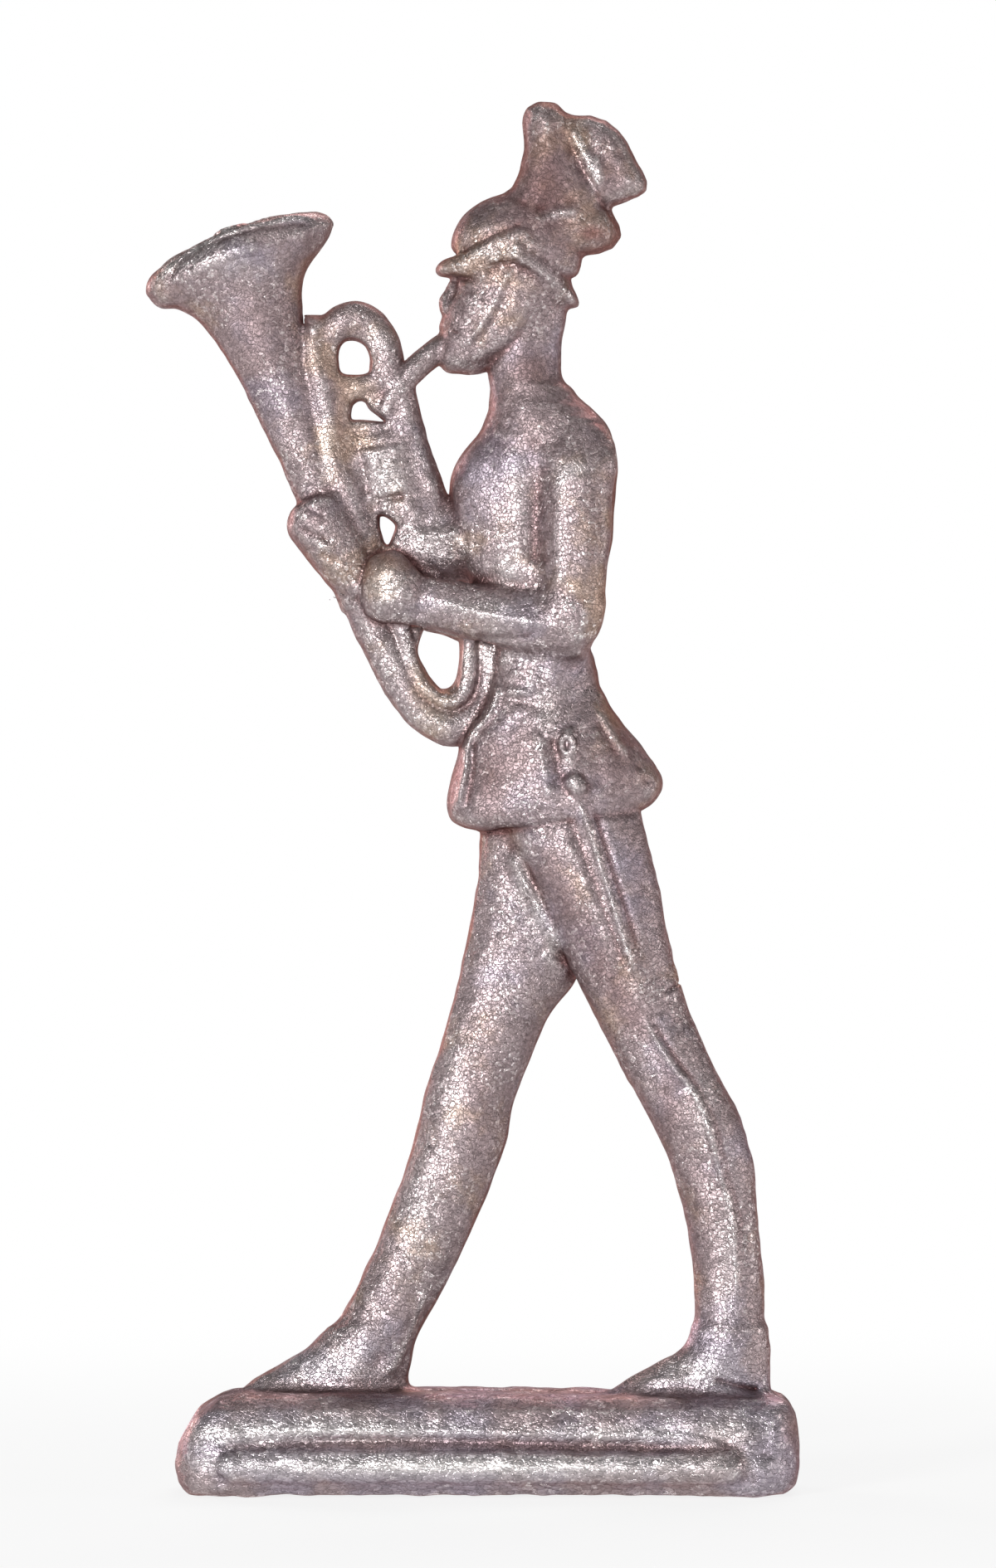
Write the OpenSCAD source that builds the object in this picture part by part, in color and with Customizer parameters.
// Lead toy soldier: a marching bandsman with an upright-bell horn.
// Semi-flat solid casting; the mould parts along the plane y = 0.
// X runs along the base (he marches toward -X), Z is up, -Y is the side seen in the picture.
// The origin lies at the centre of the base underside.

/* [Base] */
// length of the bar underfoot
base_l = 28.8; // [26:0.2:32]
// width across the bottom bead
base_w = 9.6; // [8.6:0.1:12]
// height from the underside to the standing surface
base_h = 4.6; // [4:0.1:5.4]
// height of the rounded bottom bead
bead_h = 2.2; // [1.6:0.1:2.6]
// depth of the groove above the bead
groove_d = 0.35; // [0.15:0.05:0.6]
// how far the left end leans in at the top
end_in_front = 2.2; // [1:0.1:3]
// how far the right end leans in at the top
end_in_back = 1.1; // [0.6:0.1:2]
// how far each long side leans in at the top
side_in = 1.5; // [0.8:0.1:1.9]
// corner radius in plan
base_corner = 2.6; // [1.5:0.1:3.6]

/* [Legs] */
// height of the fork above the standing surface
fork_h = 18.4; // [16:0.2:20]
// sideways offset of each leg from the mould's parting plane
leg_y = 0.7; // [0.4:0.05:1]
// half thickness of a trouser leg, front to back of the casting
leg_d = 1.6; // [1.3:0.05:1.9]
// how far the leading ankle stands ahead of the fork
step_front = 9.9; // [8.5:0.1:11]
// how far the trailing ankle stands behind the fork
step_back = 7.0; // [6:0.1:8]
// width of a trouser leg at the knee
knee_w = 4.2; // [3.6:0.1:4.8]
// width of the leading trouser leg above the foot
front_hem_w = 4.0; // [3.4:0.1:4.6]
// width of the trailing trouser leg above the foot
back_hem_w = 3.3; // [2.8:0.1:4]

/* [Feet] */
// length of the leading foot
foot_l = 7.4; // [6.8:0.1:8]
// length of the trailing foot, which shows less of its toe
back_foot_l = 6.8; // [6.2:0.1:7.4]
// width of a foot
foot_w = 3; // [2.4:0.1:3.4]
// height of the instep
foot_h = 2.5; // [2:0.1:3]

/* [Tunic] */
// height of the skirt hem above the fork
hem_up = 7.4; // [6.6:0.1:8]
// height of the flared skirt
skirt_h = 6; // [5:0.1:7]
// length of the skirt hem, front to back of the figure
skirt_w = 9.8; // [9.2:0.1:10.4]
// half thickness of the skirt at the hem
skirt_d = 2.7; // [2.4:0.05:3.1]
// height of the belt
belt_h = 1.7; // [1.2:0.1:2.2]
// length of the waist, front to back of the figure
waist_w = 4.3; // [4:0.1:4.8]
// height from the belt's upper edge to the collar seat
torso_h = 11.2; // [10.4:0.1:12]
// length of the chest, front to back of the figure
chest_w = 7.5; // [7:0.1:8]
// half thickness of the chest
chest_d = 2.35; // [2:0.05:2.7]
// height of the standing collar
collar_h = 1.1; // [0.8:0.1:1.5]
// width of the collar
collar_w = 4.2; // [3.8:0.1:4.6]

/* [Arms] */
// length of the near upper arm, shoulder to elbow
upper_arm_l = 7.2; // [6.4:0.1:8]
// width of the near sleeve at the shoulder
sleeve_w = 3.4; // [3:0.1:3.8]
// length of the near forearm, elbow to wrist
forearm_l = 7.1; // [6.4:0.1:7.6]
// width of the near cuff
cuff_w = 2.7; // [2.2:0.1:3.1]
// size of the near fist across the knuckles
fist_w = 3; // [2.6:0.1:3.4]
// width of the far hand around the bell tube
grip_w = 2.5; // [2.2:0.1:3]

/* [Head] */
// height from the collar to the cap's rim
head_h = 5.6; // [5.2:0.1:6.2]
// length of the head, face to nape
head_w = 5.4; // [5:0.1:5.8]
// half thickness of the head
head_d = 1.95; // [1.6:0.05:2.2]
// backward tilt of the head and headdress
head_tilt = 12; // [6:1:16]
// how far the nose stands out from the face
nose_out = 0.55; // [0.3:0.05:0.8]

/* [Headdress] */
// height of the domed skull of the headdress
dome_h = 3.1; // [2.8:0.1:3.6]
// length of the dome at its rim
dome_w = 6; // [5.6:0.1:6.4]
// half thickness of the dome
dome_d = 2.2; // [1.9:0.05:2.5]
// thickness of the visor and of the neck guard
brim_t = 0.55; // [0.4:0.05:0.8]
// how far the visor stands out in front of the dome
visor_out = 0.6; // [0.4:0.05:1]
// how far the neck guard stands out behind the dome
guard_out = 0.4; // [0.3:0.05:0.8]
// height of the plume socket above the dome
socket_h = 4.4; // [3.8:0.1:5]
// width of the plume socket at its top
socket_w = 1.9; // [1.5:0.1:2.3]
// thickness of the falling plume
plume_t = 2.3; // [1.9:0.1:2.6]

/* [Horn] */
// lean of the bell away from upright
horn_lean = 20; // [16:1:24]
// radius of the bell at its rim
rim_r = 4.5; // [4:0.1:5]
// length of the bell and its tapered tube
bell_l = 16.8; // [16:0.1:17.6]
// flattening of the bell, thickness over width
bell_flat = 0.62; // [0.5:0.02:0.8]
// height of the dome that closes the bell
dome_rise = 1.6; // [1:0.1:2]
// radius of the outer bow's tube
bow_r = 0.8; // [0.65:0.05:0.95]
// bend radius of the outer bow
bow_bend = 2.1; // [1.9:0.05:2.3]
// radius of the inner bow's tube
slide_r = 0.4; // [0.3:0.05:0.5]
// bend radius of the top loop
loop_bend = 1.65; // [1.5:0.05:1.8]
// radius of the top loop's tube
loop_r = 0.72; // [0.6:0.02:0.8]
// radius of the tubes beside the bell
side_r = 0.5; // [0.4:0.02:0.6]
// radius of the valve casing
valve_r = 1.5; // [1.2:0.05:1.8]
// height of the valve casing
valve_h = 3.2; // [2.8:0.1:3.6]
// radius of the mouthpipe
mouth_r = 0.52; // [0.4:0.02:0.65]

/* [Sidearm] */
// radius of the scabbard
scabbard_r = 0.42; // [0.3:0.02:0.55]
// length of the scabbard
scabbard_l = 9; // [8:0.1:10]
// lean of the scabbard away from upright
scabbard_lean = 18; // [12:1:24]
// radius of the sword knot
knot_r = 0.5; // [0.35:0.05:0.65]

/* [Hidden] */
sides = 16;
metal = [0.58, 0.57, 0.57];
metal_light = [0.7, 0.69, 0.68];
metal_dark = [0.46, 0.45, 0.46];
cloth_tone = [0.52, 0.52, 0.55];
skin_tone = [0.64, 0.6, 0.58];

// Heights of the seams between the forms, each stacked on the one below.
fork_z = base_h + fork_h;
hem_z = fork_z + hem_up;
belt_z = hem_z + skirt_h;
waist_z = belt_z + belt_h;
neck_z = waist_z + torso_h;
collar_z = neck_z + collar_h;
rim_z = collar_z + head_h;

// Positions along the base, measured from the fork.
fork_x = 3.9;
front_ankle_x = fork_x - step_front;
back_ankle_x = fork_x + step_back;
waist_x = 2.6;
neck_x = 2.35;
head_x = neck_x - 1.15;

// Shoulder, elbow and wrist of the near arm.
shoulder = [waist_x + 1.65, neck_z - 2.6];
elbow = [shoulder[0] - 0.25, shoulder[1] - upper_arm_l];
wrist = [elbow[0] - forearm_l * cos(9), elbow[1] + forearm_l * sin(9)];
arm_y = -chest_d + 0.15;
far_elbow = [shoulder[0] - 2.2, shoulder[1] - 0.65 * upper_arm_l];

// The horn hangs from the hands: the bell's foot sits beside the near fist.
bell_foot = [wrist[0] - 2.85, wrist[1] - 0.1];
bell_dir = [-sin(horn_lean), cos(horn_lean)];
rim_c = bell_foot + bell_l * bell_dir;
bow_lean = 24.8;
bow_leg = 0.289 * bell_l;
bow_c = bell_foot + bow_leg * [sin(bow_lean), -cos(bow_lean)]
    + bow_bend * [cos(bow_lean), sin(bow_lean)];
slide_c = bow_c + [-0.12, 0.16];
slide_bend = bow_bend - bow_r - slide_r + 0.22;
loop_c = bell_foot + bell_l * [-0.02, 0.67];
side_low = bell_foot + bell_l * [0.024, 0.153];
back_low = bell_foot + bell_l * [0.197, 0.288];
valve_c = bell_foot + bell_l * [0.058, 0.385];
lips = [head_x - 2.75, collar_z + 2.05];
pipe_knee = lips + [-1.75, -1.05];
pipe_low = pipe_knee + [-1.5, -2.1];

// Lofting

// One value between b and c on the curve through a, b, c and d.
function blend(a, b, c, d, t) =
    0.5 * (2 * b + (c - a) * t + (2 * a - 5 * b + 4 * c - d) * t * t
    + (3 * b - a - 3 * c + d) * t * t * t);

// Stations between the key stations, k to each step.
function between(s, k) = [
    for (i = [0 : len(s) - 2]) for (j = [0 : k - 1])
        blend(s[max(i - 1, 0)], s[i], s[i + 1], s[min(i + 2, len(s) - 1)], j / k),
    s[len(s) - 1]
];

function bulge(v, p) = sign(v) * pow(abs(v), 2 / p);

// A station is [x, z, half width, half depth, y, tilt]; p squares its outline.
function ring(s, p, n) = [
    for (j = [0 : n - 1])
        let (a = 360 * j / n, u = s[2] * bulge(cos(a), p), v = s[3] * bulge(sin(a), p))
            [s[0] + u * cos(s[5]), s[4] + v, s[1] + u * sin(s[5])]
];

// The solid from station a to b, with a core that reaches a little way toward the next one, c.
module slice(a, b, c, p, n) {
    core = [for (i = [0 : 5]) (i == 2 || i == 3 ? 0.7 : 1) * (b[i] + 0.1 * (c[i] - b[i]))];
    rings = concat(ring(a, p, n), ring(b, p, n), b == c ? [] : ring(core, p, n));
    hull() polyhedron(rings,
        [for (k = [0 : len(rings) / n - 1]) [for (i = [0 : n - 1]) k * n + i]]);
}

// A smooth form through key stations; k sets how many slices each step gets.
module loft(stations, k = 2, p = 2.2, n = sides) {
    s = between(stations, k);
    for (i = [0 : len(s) - 2]) slice(s[i], s[i + 1], s[min(i + 2, len(s) - 1)], p, n);
}

// A round bar from a to b in the plane y, swelling by flare toward b.
module bar(a, b, r, y = 0, flare = 0) {
    d = b - a;
    translate([a[0], y, a[1]]) rotate([0, atan2(d[0], d[1]), 0])
        cylinder(h = norm(d), r1 = r, r2 = r + flare, $fn = 24);
}

// Stations of a tube bent about c from angle a0 over sweep, measured from +X to +Z,
// with a straight leg before the bend and one after it.
function bent(c, bend_r, r, a0, sweep, steps, before = 0, after = 0) =
    let (
        at = function(a, along) concat(
            c + bend_r * [cos(a), sin(a)] + along * [-sin(a), cos(a)], [r, r, 0, a])
    ) concat(
        before > 0 ? [at(a0, -before)] : [],
        [for (i = [0 : steps]) at(a0 + sweep * i / steps, 0)],
        after > 0 ? [at(a0 + sweep, after)] : []);

// Base

module base_plan() {
    x = base_l / 2 - base_corner;
    y = base_w / 2 - base_corner;
    square([base_l, 2 * y], center = true);
    square([2 * x, base_w], center = true);
    for (i = [-1, 1], j = [-1, 1]) translate([i * x, j * y]) circle(base_corner, $fn = 64);
}

// Outline seen from the side: leaning ends with rounded feet.
module base_side() {
    l = base_l / 2;
    polygon([
        [-l + 0.55, 0], [l - 0.6, 0], [l - 0.2, 0.35], [l, 1.1],
        [l - 0.1 * end_in_back, bead_h], [l - 0.45 * end_in_back, 0.78 * base_h],
        [l - end_in_back, base_h - 0.2], [l - end_in_back - 0.6, base_h],
        [-l + end_in_front + 0.9, base_h], [-l + end_in_front, base_h - 0.25],
        [-l + 0.62 * end_in_front, 0.8 * base_h], [-l + 0.12 * end_in_front, bead_h],
        [-l, 1.2], [-l + 0.15, 0.45]
    ]);
}

// Section across the base: a round bead, then a leaning side with a soft shoulder.
module base_section() {
    w = base_w / 2;
    r = bead_h / 2;
    shoulder_y = w - side_in;
    difference() {
        union() {
            for (i = [-1, 1]) translate([i * (w - r), r]) circle(r, $fn = 48);
            translate([-(w - r), 0]) square([2 * (w - r), bead_h]);
            polygon([
                [-w + 0.35, r], [w - 0.35, r], [w - 0.4, bead_h + 0.3],
                [w - 0.3 - 0.25 * side_in, bead_h + 0.55 * (base_h - bead_h)],
                [shoulder_y, base_h - 0.22], [shoulder_y - 0.5, base_h],
                [-shoulder_y + 0.5, base_h], [-shoulder_y, base_h - 0.22],
                [-w + 0.3 + 0.25 * side_in, bead_h + 0.55 * (base_h - bead_h)],
                [-w + 0.4, bead_h + 0.3]
            ]);
        }
        for (i = [-1, 1]) translate([i * w, bead_h + 0.1]) circle(groove_d + 0.3, $fn = 24);
    }
}

module base() {
    color(metal) intersection() {
        linear_extrude(base_h) base_plan();
        rotate([90, 0, 0]) linear_extrude(base_w, center = true) base_side();
        rotate([90, 0, 90]) linear_extrude(base_l, center = true) base_section();
    }
}

// Feet and legs

// A foot of length l: heel_x is the back of the heel, y its place across the casting.
module foot(heel_x, y, l) {
    w = foot_w / 2;
    z = base_h;
    c = heel_x - l / 2;
    loft([
        [c, z, l / 2, w, y, 0],
        [c + 0.15, z + 0.22 * foot_h, 0.46 * l, w, y, 0],
        [c + 0.75, z + 0.5 * foot_h, 0.37 * l, 0.92 * w, y, 0],
        [c + 1.35, z + 0.78 * foot_h, 0.28 * l, 0.86 * w, y, 0],
        [c + 1.7, z + foot_h, 0.22 * l, 0.8 * w, y, 0]
    ], 2, 2.4);
}

module front_foot_form() { foot(front_ankle_x + 2.3, leg_y, foot_l); }
module back_foot_form() { foot(back_ankle_x + 1.85, -leg_y, back_foot_l); }
module far_foot() { color(metal_dark) front_foot_form(); }
module near_foot() { color(metal_dark) back_foot_form(); }

// The trailing leg, on the near side.
module near_leg_form() {
    h = hem_z - base_h;
    k = knee_w / 2;
    a = back_hem_w / 2;
    s = step_back;
    loft([
        [fork_x - 0.09 * s, base_h + 1.06 * h, 1.57 * k, 1.25 * leg_d, -leg_y + 0.1, 0],
        [fork_x + 0.13 * s, base_h + 0.9 * h, 1.38 * k, 1.19 * leg_d, -leg_y, 0],
        [fork_x + 0.35 * s, base_h + 0.73 * h, 1.12 * k, 1.06 * leg_d, -leg_y, 0],
        [fork_x + 0.59 * s, base_h + 0.58 * h, 1.05 * k, leg_d, -leg_y, 0],
        [fork_x + 0.82 * s, base_h + 0.47 * h, 1.02 * k, leg_d, -leg_y, 0],
        [fork_x + 0.94 * s, base_h + 0.37 * h, 1.12 * a, 0.94 * leg_d, -leg_y, 0],
        [back_ankle_x + 0.15, base_h + 0.22 * h, a, leg_d - 0.2, -leg_y, 0],
        [back_ankle_x + 0.25, base_h + 0.12 * h, a, leg_d - 0.2, -leg_y, 0],
        [back_ankle_x - 0.2, base_h + 0.055 * h, a + 0.5, leg_d - 0.1, -leg_y, 0]
    ]);
}

// The leading leg, on the far side.
module far_leg_form() {
    h = hem_z - base_h;
    k = knee_w / 2;
    a = front_hem_w / 2;
    s = step_front;
    loft([
        [fork_x - 0.09 * s, base_h + 1.02 * h, 1.48 * k, 1.25 * leg_d, leg_y - 0.1, 0],
        [fork_x - 0.167 * s, base_h + 0.87 * h, 1.33 * k, 1.12 * leg_d, leg_y, 0],
        [fork_x - 0.25 * s, base_h + 0.73 * h, 1.31 * k, leg_d, leg_y, 0],
        [fork_x - 0.323 * s, base_h + 0.67 * h, 1.1 * k, leg_d, leg_y, 0],
        [fork_x - 0.465 * s, base_h + 0.53 * h, k, leg_d, leg_y, 0],
        [fork_x - 0.535 * s, base_h + 0.42 * h, 1.02 * k, leg_d, leg_y, 0],
        [fork_x - 0.667 * s, base_h + 0.29 * h, k, leg_d, leg_y, 0],
        [front_ankle_x + 2.0, base_h + 0.18 * h, a, leg_d - 0.1, leg_y, 0],
        [front_ankle_x + 1.0, base_h + 0.11 * h, a, leg_d - 0.1, leg_y, 0],
        [front_ankle_x + 0.15, base_h + 0.055 * h, a + 0.3, leg_d, leg_y, 0]
    ]);
}

module near_leg() {
    color(cloth_tone) difference() {
        near_leg_form();
        back_foot_form();
        skirt_form();
    }
}

module far_leg() {
    color(cloth_tone) difference() {
        far_leg_form();
        front_foot_form();
        near_leg_form();
        skirt_form();
    }
}

// Tunic

module skirt_form() {
    w = skirt_w / 2;
    loft([
        [waist_x + 0.3, hem_z + 0.05, w - 0.75, skirt_d - 0.2, 0, 2],
        [waist_x + 0.45, hem_z + 0.13 * skirt_h, w, skirt_d, 0, 3],
        [waist_x + 0.45, hem_z + 0.3 * skirt_h, w - 0.05, skirt_d, 0, 2],
        [waist_x + 0.4, hem_z + 0.55 * skirt_h, w - 0.5, skirt_d - 0.1, 0, 0],
        [waist_x + 0.25, hem_z + 0.8 * skirt_h, waist_w / 2 + 0.85, skirt_d - 0.4, 0, 0],
        [waist_x, belt_z, waist_w / 2 + 0.15, chest_d - 0.25, 0, 0]
    ]);
}

module belt_form() {
    w = waist_w / 2 + 0.25;
    loft([
        [waist_x, belt_z, w, chest_d - 0.1, 0, 0],
        [waist_x, belt_z + belt_h / 2, w + 0.05, chest_d - 0.02, 0, 0],
        [waist_x, waist_z, w, chest_d - 0.1, 0, 0]
    ], 4);
}

module torso_form() {
    w = chest_w / 2;
    t = torso_h;
    loft([
        [waist_x, waist_z, waist_w / 2, chest_d - 0.25, 0, 0],
        [waist_x - 0.1, waist_z + 0.09 * t, waist_w / 2 + 0.15, chest_d - 0.2, 0, 0],
        [waist_x - 0.3, waist_z + 0.28 * t, w - 0.75, chest_d, 0, 0],
        [waist_x - 0.45, waist_z + 0.45 * t, w - 0.25, chest_d, 0, 0],
        [waist_x - 0.5, waist_z + 0.62 * t, w, chest_d, 0, 0],
        [waist_x - 0.42, waist_z + 0.77 * t, w, chest_d, 0, 0],
        [waist_x - 0.2, waist_z + 0.9 * t, w - 0.75, chest_d - 0.1, 0, 0],
        [neck_x, neck_z, collar_w / 2 + 0.1, chest_d - 0.45, 0, 0]
    ]);
}

module collar_form() {
    w = collar_w / 2;
    loft([
        [neck_x, neck_z, w + 0.05, chest_d - 0.4, 0, 0],
        [neck_x - 0.12, neck_z + collar_h / 2, w, chest_d - 0.45, 0, 0],
        [neck_x - 0.22, collar_z, w - 0.1, chest_d - 0.6, 0, 0]
    ], 4);
}

module tunic_skirt() {
    color(cloth_tone) difference() { skirt_form(); bow_form(); }
}

module belt() {
    color(metal_light) difference() { belt_form(); bow_form(); }
}

module tunic_body() {
    color(cloth_tone) difference() { torso_form(); bow_form(); }
}

module collar() { color(metal_light) collar_form(); }

// Sidearm

knot = [waist_x + 1.42, hem_z + 0.27 * skirt_h];
side_y = -skirt_d + 0.05;

module scabbard_form() {
    tip = knot + (scabbard_l + 0.6) * [sin(scabbard_lean), -cos(scabbard_lean)];
    top = knot + 0.6 * [sin(scabbard_lean), -cos(scabbard_lean)];
    s = [for (i = [0 : 8]) let (t = i / 8) concat(top + t * (tip - top),
        [(i == 8 ? 0.6 : 1) * scabbard_r / cos(scabbard_lean), scabbard_r,
        side_y + t * 0.15, 0])];
    loft(s, 1, 2);
}

module hilt_form() {
    w = knot_r;
    loft([
        [knot[0] - 0.55, knot[1] + 3.2, 0.35, 0.3, side_y + 0.35, 0],
        [knot[0] - 0.42, knot[1] + 2.9, 0.5, 0.42, side_y + 0.3, 0],
        [knot[0] - 0.2, knot[1] + 1.9, 0.42, 0.4, side_y + 0.15, 0],
        [knot[0] - 0.08, knot[1] + 0.8, 0.34, 0.36, side_y + 0.02, 0],
        [knot[0], knot[1] + 0.35, w, w, side_y, 0],
        [knot[0] + 0.04, knot[1], w, w, side_y, 0],
        [knot[0] + 0.1, knot[1] - 0.4, 0.55 * w, 0.6 * w, side_y, 0],
        [knot[0] + 0.19, knot[1] - 0.6, 0.35 * w, 0.35 * w, side_y, 0]
    ]);
}

module scabbard() {
    color(metal_light) difference() {
        scabbard_form();
        near_leg_form();
        skirt_form();
    }
}

module sword_hilt() {
    color(metal_light) difference() {
        hilt_form();
        scabbard_form();
        skirt_form();
    }
}

// Arms and hands

module upper_arm_form() {
    s = sleeve_w / 2;
    e = [elbow[0] - shoulder[0], elbow[1] - shoulder[1]];
    y = arm_y;
    loft([
        [shoulder[0] - 0.1, shoulder[1] + 0.95 * s, 0.35 * s, 0.5 * s, y + 0.5, 0],
        [shoulder[0], shoulder[1] + 0.6 * s, 0.85 * s, 0.72 * s, y + 0.3, 0],
        [shoulder[0] + 0.05, shoulder[1], s, 0.8 * s, y + 0.05, 0],
        [shoulder[0] + 0.35 * e[0], shoulder[1] + 0.35 * e[1], s - 0.1, 0.8 * s, y, 0],
        [shoulder[0] + 0.7 * e[0], shoulder[1] + 0.7 * e[1], s - 0.25, 0.8 * s, y, 0],
        [elbow[0] - 0.05, elbow[1] + 0.2, s - 0.45, 0.76 * s, y, 0],
        [elbow[0] - 0.1, elbow[1] - 0.6, s - 0.75, 0.62 * s, y + 0.1, 0],
        [elbow[0] - 0.1, elbow[1] - 1.15, 0.35 * s, 0.4 * s, y + 0.2, 0]
    ]);
}

// Stations stand across the arm, so they tilt with it.
module forearm_form() {
    c = cuff_w / 2;
    d = [wrist[0] - elbow[0], wrist[1] - elbow[1]];
    a = 90 - 9;
    loft([
        for (t = [0, 0.16, 0.4, 0.65, 0.88, 1])
            [elbow[0] + t * d[0], elbow[1] + t * d[1] - 0.25 * sin(180 * t),
            c + 0.05 - 0.12 * t, 1.15 - 0.1 * t, arm_y + 0.05 + 0.9 * t, a]
    ]);
}

module fist_form() {
    w = fist_w / 2;
    c = [wrist[0] - 1.25, wrist[1] + 0.15];
    loft([
        [wrist[0] + 0.05, wrist[1] + 0.05, 0.72 * w, 0.85, arm_y + 1.0, 84],
        [wrist[0] - 0.35, wrist[1] + 0.1, 0.92 * w, 1.05, arm_y + 1.05, 86],
        [c[0] + 0.1, c[1], w, 1.15, arm_y + 1.1, 90],
        [c[0] - 0.75, c[1], 0.97 * w, 1.1, arm_y + 1.15, 92],
        [c[0] - 1.35, c[1] - 0.05, 0.62 * w, 0.8, arm_y + 1.25, 94]
    ], 2, 2.5);
}

// The far arm mirrors the near one behind the chest, then reaches forward past the valves.
module far_upper_arm_form() {
    s = sleeve_w / 2;
    y = -arm_y;
    loft([
        [shoulder[0] - 0.5, shoulder[1] + 0.95 * s, 0.35 * s, 0.5 * s, y - 0.5, 0],
        [shoulder[0] - 0.5, shoulder[1] + 0.6 * s, 0.85 * s, 0.72 * s, y - 0.3, 0],
        [shoulder[0] - 0.55, shoulder[1], s, 0.8 * s, y - 0.05, 0],
        [far_elbow[0] + 0.7, 0.5 * (shoulder[1] + far_elbow[1]), s - 0.15, 0.8 * s, y, 0],
        [far_elbow[0] + 0.1, far_elbow[1] + 0.4, s - 0.4, 0.74 * s, y, 0],
        [far_elbow[0], far_elbow[1] - 0.5, 0.5 * s, 0.5 * s, y - 0.1, 0]
    ]);
}

module far_forearm_form() {
    y = -arm_y;
    l = forearm_l;
    c = cuff_w / 2;
    e = far_elbow;
    loft([
        [e[0] + 0.07 * l, e[1] + 0.09 * l, 0.63 * c, 0.63 * c, 0.93 * y, 70],
        [e[0] - 0.17 * l, e[1] + 0.16 * l, 1.04 * c, 0.85 * c, 0.84 * y, 85],
        [e[0] - 0.45 * l, e[1] + 0.225 * l, 1.41 * c, 0.93 * c, 0.6 * y, 100],
        [e[0] - 0.7 * l, e[1] + 0.155 * l, 1.19 * c, 0.85 * c, 0.5 * y, 107],
        [e[0] - 0.93 * l, e[1] + 0.035 * l, 0.81 * c, 0.74 * c, 0.54 * y, 104],
        [e[0] - 1.13 * l, e[1] - 0.07 * l, 0.67 * c, 0.7 * c, 0.54 * y, 104]
    ]);
}

// The far hand wraps the bell's tube from behind; its stations stand square to that tube.
module far_hand_form() {
    w = grip_w / 2;
    a = horn_lean;
    y = -0.12;
    c = bell_foot + 0.185 * bell_l * bell_dir;
    function at(t, o) = c + w * (t * bell_dir + o * [cos(a), sin(a)]);
    function st(t, o, k) = concat(at(t, o), [w * (k + 0.08), w * (0.64 + 0.52 * k), y, a]);
    loft([
        st(1.72, -0.24, 0.6), st(1.52, -0.28, 0.88), st(0.96, -0.36, 1.1), st(0.24, -0.24, 1.12),
        st(-0.64, -0.04, 1.02), st(-1.44, 0.08, 0.85), st(-2.16, 0.16, 0.55)
    ]);
}

module near_upper_arm() {
    color(cloth_tone) difference() { upper_arm_form(); torso_form(); belt_form(); }
}

module near_forearm() {
    color(cloth_tone) difference() {
        forearm_form();
        upper_arm_form();
        torso_form();
        belt_form();
        bow_form();
        slide_form();
    }
}

module near_hand() {
    color(skin_tone) difference() {
        fist_form();
        forearm_form();
        bell_form();
        bow_form();
        slide_form();
        side_tube_form();
    }
}

module far_upper_arm() {
    color(cloth_tone) difference() { far_upper_arm_form(); torso_form(); }
}

module far_forearm() {
    color(cloth_tone) difference() {
        far_forearm_form();
        far_upper_arm_form();
        torso_form();
        belt_form();
        bell_form();
        far_hand_form();
        fist_form();
        forearm_form();
        valve_form();
        side_tube_form();
    }
}

module far_hand() {
    color(skin_tone) difference() {
        far_hand_form();
        fist_form();
        bell_form();
        bow_form();
        side_tube_form();
    }
}

// Head

// Places a form in the tilted frame of the head, whose origin is the middle of the cap's rim.
module in_head() {
    translate([head_x, 0, rim_z - 0.2]) rotate([0, head_tilt, 0]) children();
}

module head_form() {
    w = head_w / 2;
    n = collar_w / 2 - 0.2;
    loft([
        [neck_x - 0.3, collar_z - 0.1, n, head_d - 0.35, 0, 0],
        [neck_x - 0.45, collar_z + 0.35, n - 0.1, head_d - 0.35, 0, -2],
        [neck_x - 1.3, collar_z + 0.5, w - 0.65, head_d - 0.3, 0, -9],
        [head_x - 0.25, collar_z + 1.15, w - 0.2, head_d - 0.1, 0, -head_tilt],
        [head_x - 0.2, collar_z + 0.4 * head_h, w - 0.1, head_d, 0, -head_tilt],
        [head_x - 0.1, collar_z + 0.65 * head_h, w, head_d, 0, -head_tilt],
        [head_x, collar_z + 0.87 * head_h, w, head_d, 0, -head_tilt],
        [head_x, rim_z + 0.3, w - 0.1, head_d - 0.1, 0, -head_tilt]
    ]);
    // nose: a plain wedge between the brow and the upper lip
    hull() {
        translate([head_x - w + 0.1, 0, collar_z + 0.82 * head_h]) sphere(0.22, $fn = 12);
        translate([head_x - w + 0.05 - nose_out, 0, collar_z + 0.57 * head_h]) sphere(0.24, $fn = 12);
        for (y = [-0.42, 0.42])
            translate([head_x - w + 0.25, y, collar_z + 0.54 * head_h]) sphere(0.3, $fn = 12);
    }
}

module strap_form() {
    s = [[-0.05, 0.2], [-0.12, -1], [-0.3, -2.2], [-0.75, -3.35], [-1.4, -4.3]];
    y = [head_d, head_d, head_d - 0.02, head_d - 0.15, head_d - 0.65];
    for (k = [-1, 1]) in_head()
        for (i = [0 : len(s) - 2]) hull() {
            translate([s[i][0], k * y[i], s[i][1]]) sphere(0.26, $fn = 8);
            translate([s[i + 1][0], k * y[i + 1], s[i + 1][1]]) sphere(0.26, $fn = 8);
        }
}

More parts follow.
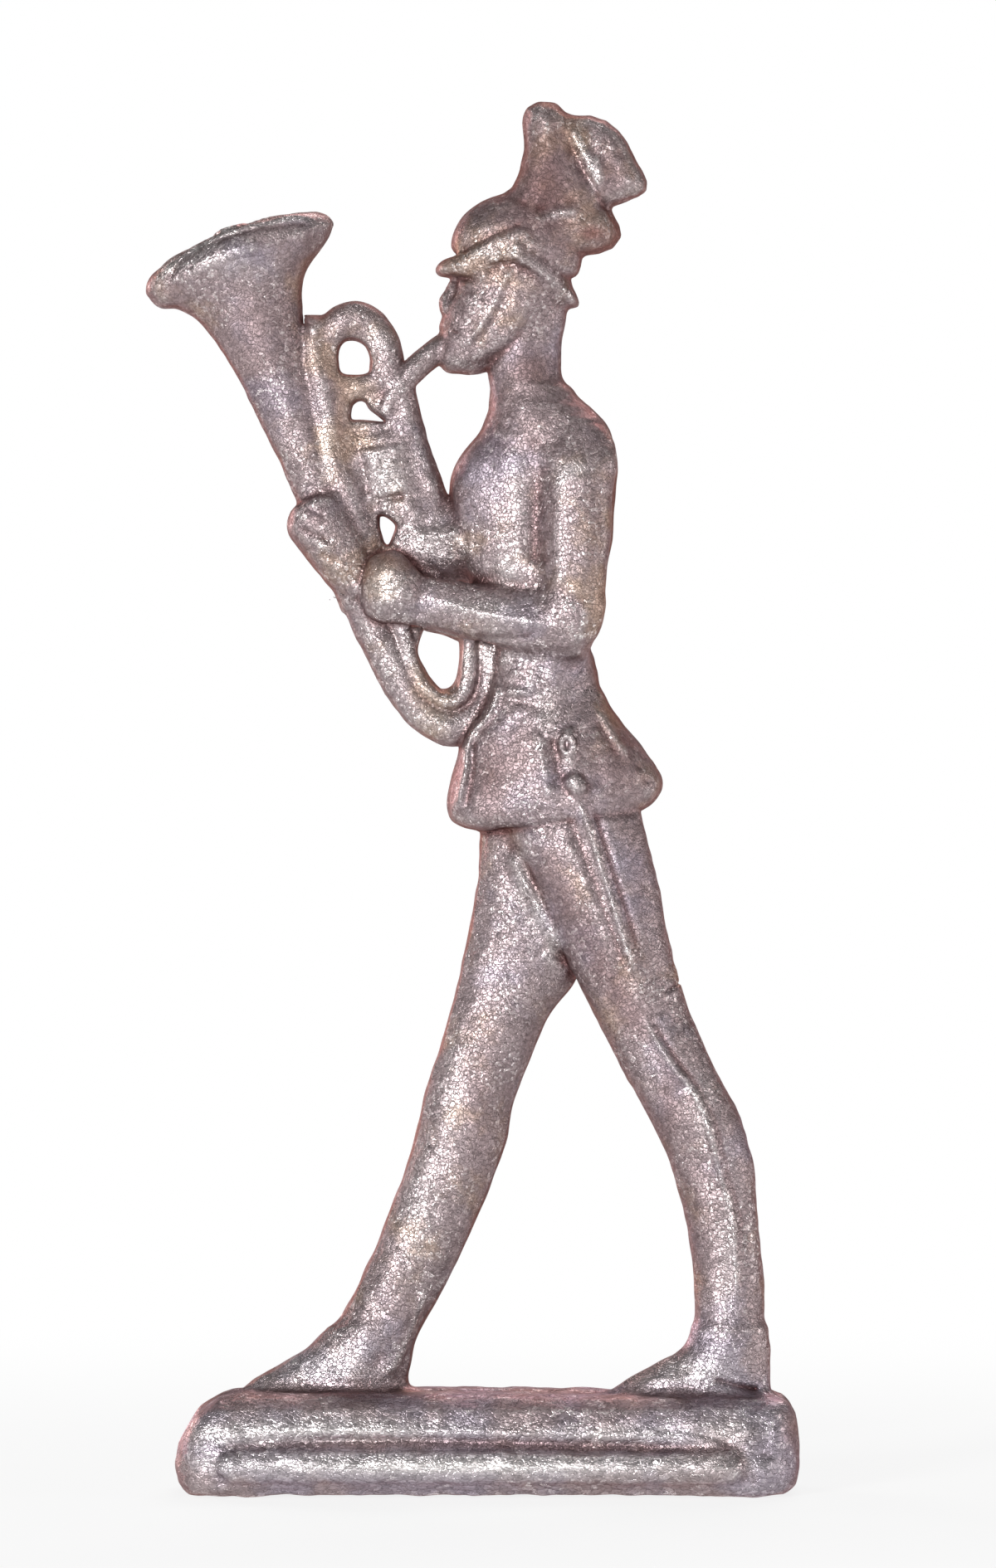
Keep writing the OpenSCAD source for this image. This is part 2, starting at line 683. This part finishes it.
module dome_form() {
    w = dome_w / 2;
    t = head_tilt;
    function up(h) = [head_x + h * sin(t), rim_z + h * cos(t)];
    loft([
        concat(up(0), [w - 0.05, dome_d - 0.05, 0, -t]),
        concat(up(0.28 * dome_h), [w, dome_d, 0, -t]),
        concat(up(0.58 * dome_h), [0.88 * w, 0.9 * dome_d, 0, -t]),
        concat(up(0.84 * dome_h), [0.64 * w, 0.68 * dome_d, 0, -t]),
        concat(up(dome_h), [0.3 * w, 0.32 * dome_d, 0, -t])
    ], 3);
}

// A curved plate that stands out from the dome's rim, over the face (side -1) or nape (side 1).
module brim(side, out, droop) {
    l = dome_w / 2;
    r = brim_t / 2;
    translate([head_x, 0, rim_z]) rotate([0, head_tilt, 0])
        for (i = [0 : 7]) hull() for (q = [i * 22.5, (i + 1) * 22.5]) {
            translate([side * (l - 0.5) * sin(q), (dome_d - 0.45) * cos(q), 0])
                sphere(r, $fn = 8);
            translate([side * (l + out - r) * sin(q), (dome_d - 0.05) * cos(q), -droop * sin(q)])
                sphere(r, $fn = 8);
        }
}

module visor_form() { brim(-1, visor_out, 0.75); }
module guard_form() { brim(1, guard_out, 0.75); }

module lobe_form() {
    x = head_x + 2.55;
    z = rim_z + 1.5;
    loft([
        [x - 1.5, z + 0.15, 1.1, 1.3, 0, 82],
        [x - 0.7, z + 0.12, 1.2, 1.6, 0, 84],
        [x + 0.4, z, 1.15, 1.65, 0, 88],
        [x + 1.3, z - 0.1, 0.95, 1.45, 0, 92],
        [x + 2.0, z - 0.1, 0.55, 1.0, 0, 96],
        [x + 2.2, z - 0.1, 0.25, 0.5, 0, 96]
    ]);
}

module socket_form() {
    s = socket_w / 2;
    x = head_x + 1.4;
    z = rim_z + dome_h - 0.8;
    loft([
        [x + 0.45, z, s + 1.25, 1.5, 0, -6],
        [x + 0.5, z + 0.28 * socket_h, s + 0.95, 1.35, 0, -4],
        [x + 0.35, z + 0.5 * socket_h, s + 0.5, 1.1, 0, 0],
        [x + 0.15, z + 0.75 * socket_h, s + 0.15, 1, 0, 0],
        [x, z + socket_h, s, 0.9, 0, 0],
        [x, z + socket_h + 0.55, 0.35 * s, 0.4, 0, 0]
    ]);
}

// A flat fan of feathers: rounded corners spread from the socket's top, thickest in the middle.
module plume_form() {
    r = 0.42;
    x = head_x + 1.4;
    z = rim_z + dome_h - 0.8 + socket_h;
    corners = [[1.0, -0.4, 0.3], [2.6, -0.5, 0.35], [3.75, -1.75, 0.38], [4.2, -3.2, 0.3],
        [2.9, -3.6, 0.35], [2.7, -2.0, 0.5]];
    hull() for (c = corners)
        translate([x + c[0], 0, z + c[1]]) scale([r, c[2] * plume_t, r]) sphere(1, $fn = 10);
}

module head() {
    color(skin_tone) difference() { head_form(); dome_form(); collar_form(); mouthpipe_form(); }
}

module helmet_dome() { color(metal) dome_form(); }

module visor() {
    color(metal_light) difference() { visor_form(); dome_form(); head_form(); }
}

module neck_guard() {
    color(metal_light) difference() { guard_form(); dome_form(); head_form(); }
}

module chin_strap() {
    color(metal_light) difference() {
        strap_form();
        head_form();
        dome_form();
        visor_form();
    }
}

module crown_lobe() {
    color(metal_dark) difference() { lobe_form(); dome_form(); }
}

module plume_socket() {
    color(metal) difference() { socket_form(); dome_form(); lobe_form(); }
}

module plume() {
    color(metal_light) difference() { plume_form(); socket_form(); lobe_form(); }
}

// Horn

// Radius of the bell at a distance t below its rim: a long flare and a short lip.
function bell_radius(t) =
    0.3 * rim_r * (1 - t / bell_l) + bow_r * t / bell_l
    + 0.533 * rim_r * exp(-t / (0.238 * bell_l))
    + 0.167 * rim_r * exp(-pow(t / (0.167 * rim_r), 2));

module bell_form() {
    cap = [for (i = [1 : 5]) [rim_r * sin(18 * i), -dome_rise * cos(18 * i)]];
    flare = [for (i = [0 : 11]) let (t = 0.12 + bell_l * pow(i / 11, 1.9)) [bell_radius(t), t]];
    loft([
        for (q = concat(cap, flare))
            let (near_rim = exp(-3 * max(q[1], 0) / rim_r))
                concat(rim_c + rim_r * [0.062, -0.011] * near_rim - q[1] * bell_dir,
                    [q[0], max(bell_flat * q[0], bow_r), 0, horn_lean + 5 * near_rim])
    ], 1, 2, 24);
}

// Outer bow: a leg down from the bell's foot, the bend, and a short leg up the tunic.
module bow_form() {
    loft(bent(bow_c, bow_bend, bow_r, 180 + bow_lean, 180 - bow_lean, 9, bow_leg, 0.76 * bow_bend), 1, 2, 16);
}

module slide_form() {
    loft(bent(slide_c, slide_bend, slide_r, 180 + bow_lean, 180 - bow_lean, 7,
        0.16 * bell_l, 0.7 * bow_bend), 1, 2, 12);
}

module loop_form() {
    loft(bent(loop_c, loop_bend, loop_r, 0, 180, 10, 0.5 * loop_bend, 0.5 * loop_bend), 1, 2, 14);
}

module side_tube_form() {
    bar(loop_c - [loop_bend, 0], side_low, side_r, -0.35);
    bar(loop_c + [0.85 - loop_bend, -0.9], side_low + [0.7, 0.3], side_r - 0.08, 0.1);
}

module back_tube_form() { bar(pipe_knee + 0.41 * (pipe_low - pipe_knee), back_low, side_r); }

module valve_form() {
    a = atan2(back_low[0] - loop_c[0] - loop_bend, loop_c[1] - back_low[1]);
    translate([valve_c[0], 0, valve_c[1]]) rotate([0, -a, 0]) {
        cylinder(h = valve_h, r = valve_r, center = true, $fn = 48);
        translate([0.1, 0, -valve_h / 2 - 0.95]) cylinder(h = 1.1, r = valve_r - 0.25, $fn = 48);
        translate([0, 0, valve_h / 2 - 0.1]) cylinder(h = 0.4, r = valve_r - 0.45, $fn = 48);
    }
}

module brace_form() { bar(loop_c - loop_bend * [0.51, 0.94], loop_c + loop_bend * [0.91, -0.67], 0.38); }

module mouthpipe_form() {
    bar(lips, pipe_knee, mouth_r);
    translate([pipe_knee[0], 0, pipe_knee[1]]) sphere(mouth_r, $fn = 24);
    bar(pipe_knee, pipe_low, mouth_r, 0, 0.12);
}

module horn_bell() {
    color(metal) difference() {
        bell_form();
        bow_form();
        side_tube_form();
        loop_form();
        valve_form();
    }
}

module horn_main_bow() { color(metal) bow_form(); }

module horn_inner_bow() {
    color(metal_light) difference() {
        slide_form();
        bow_form();
    }
}

module horn_top_loop() {
    color(metal_light) difference() {
        loop_form();
        mouthpipe_form();
        side_tube_form();
        brace_form();
    }
}

module horn_side_tubes() {
    color(metal_light) difference() { side_tube_form(); valve_form(); }
}

module horn_back_tube() {
    color(metal) difference() { back_tube_form(); mouthpipe_form(); valve_form(); }
}

module horn_valves() { color(metal_light) valve_form(); }

module horn_brace() {
    color(metal_light) difference() {
        brace_form();
        side_tube_form();
        mouthpipe_form();
    }
}

module horn_mouthpipe() {
    color(metal) difference() { mouthpipe_form(); valve_form(); }
}

base();
far_foot();
near_foot();
far_leg();
near_leg();
tunic_skirt();
belt();
tunic_body();
collar();
scabbard();
sword_hilt();
near_upper_arm();
near_forearm();
near_hand();
far_upper_arm();
far_forearm();
far_hand();
head();
helmet_dome();
visor();
neck_guard();
chin_strap();
crown_lobe();
plume_socket();
plume();
horn_bell();
horn_main_bow();
horn_inner_bow();
horn_top_loop();
horn_side_tubes();
horn_back_tube();
horn_valves();
horn_brace();
horn_mouthpipe();
